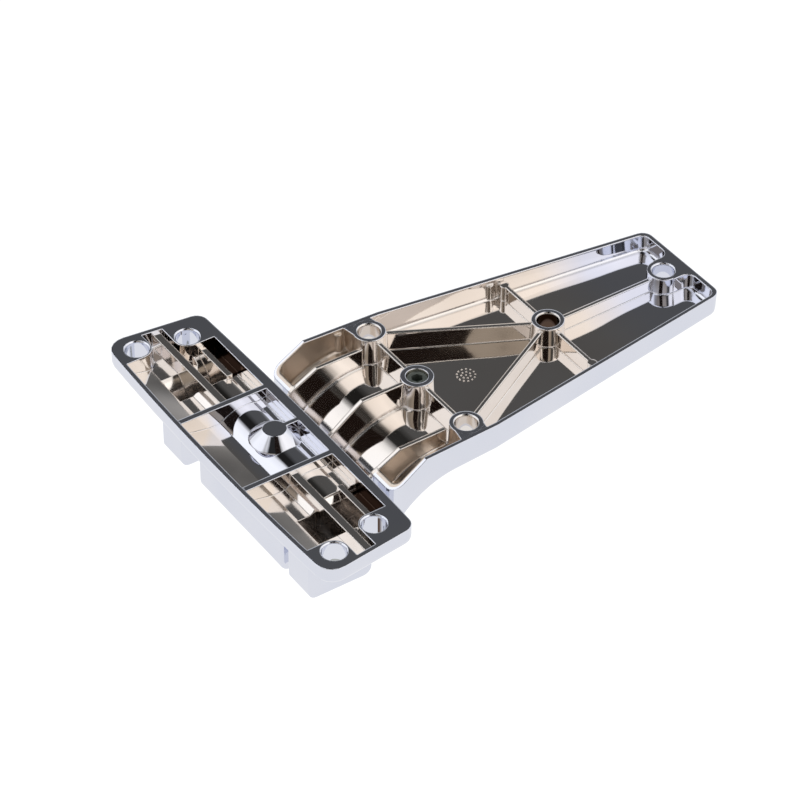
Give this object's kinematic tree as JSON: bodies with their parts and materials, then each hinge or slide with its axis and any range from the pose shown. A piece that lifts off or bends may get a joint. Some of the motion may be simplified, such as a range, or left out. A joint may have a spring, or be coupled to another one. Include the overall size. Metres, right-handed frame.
{
  "type": "tee hinge",
  "caption": "Surface-mounted tee hinge with a cast base plate, a tapered ribbed leaf and an offset knuckle on a fixed pin; opens half a turn.",
  "frame": {"origin": "the middle of the base plate's back face, on the flat top of the small cone boss", "axes": "+X from the base plate out along the leaf, +Y along the hinge pin, +Z out of the mounting face, so the back of both castings lies in z = 0"},
  "size_m": [0.2012, 0.143, 0.0349],
  "materials": {
    "plated_casting": "bright chrome plate on a zinc die casting",
    "pin_steel": "ground steel",
    "bush_plastic": "moulded nylon",
    "screw_steel": "matte phosphated steel"
  },
  "bodies": {
    "base": {"base_casting": "plated_casting", "hinge_pin": "pin_steel"},
    "leaf": {"leaf_casting": "plated_casting", "lower_bush": "bush_plastic", "upper_bush": "bush_plastic", "set_screw": "screw_steel"}
  },
  "joints": [
    {"name": "leaf_swing", "type": "hinge", "parent": "base", "child": "leaf", "pos_m": [-0.00445, 0, -0.024], "axis": [0, 1, 0], "range_deg": [0, 180]}
  ]
}
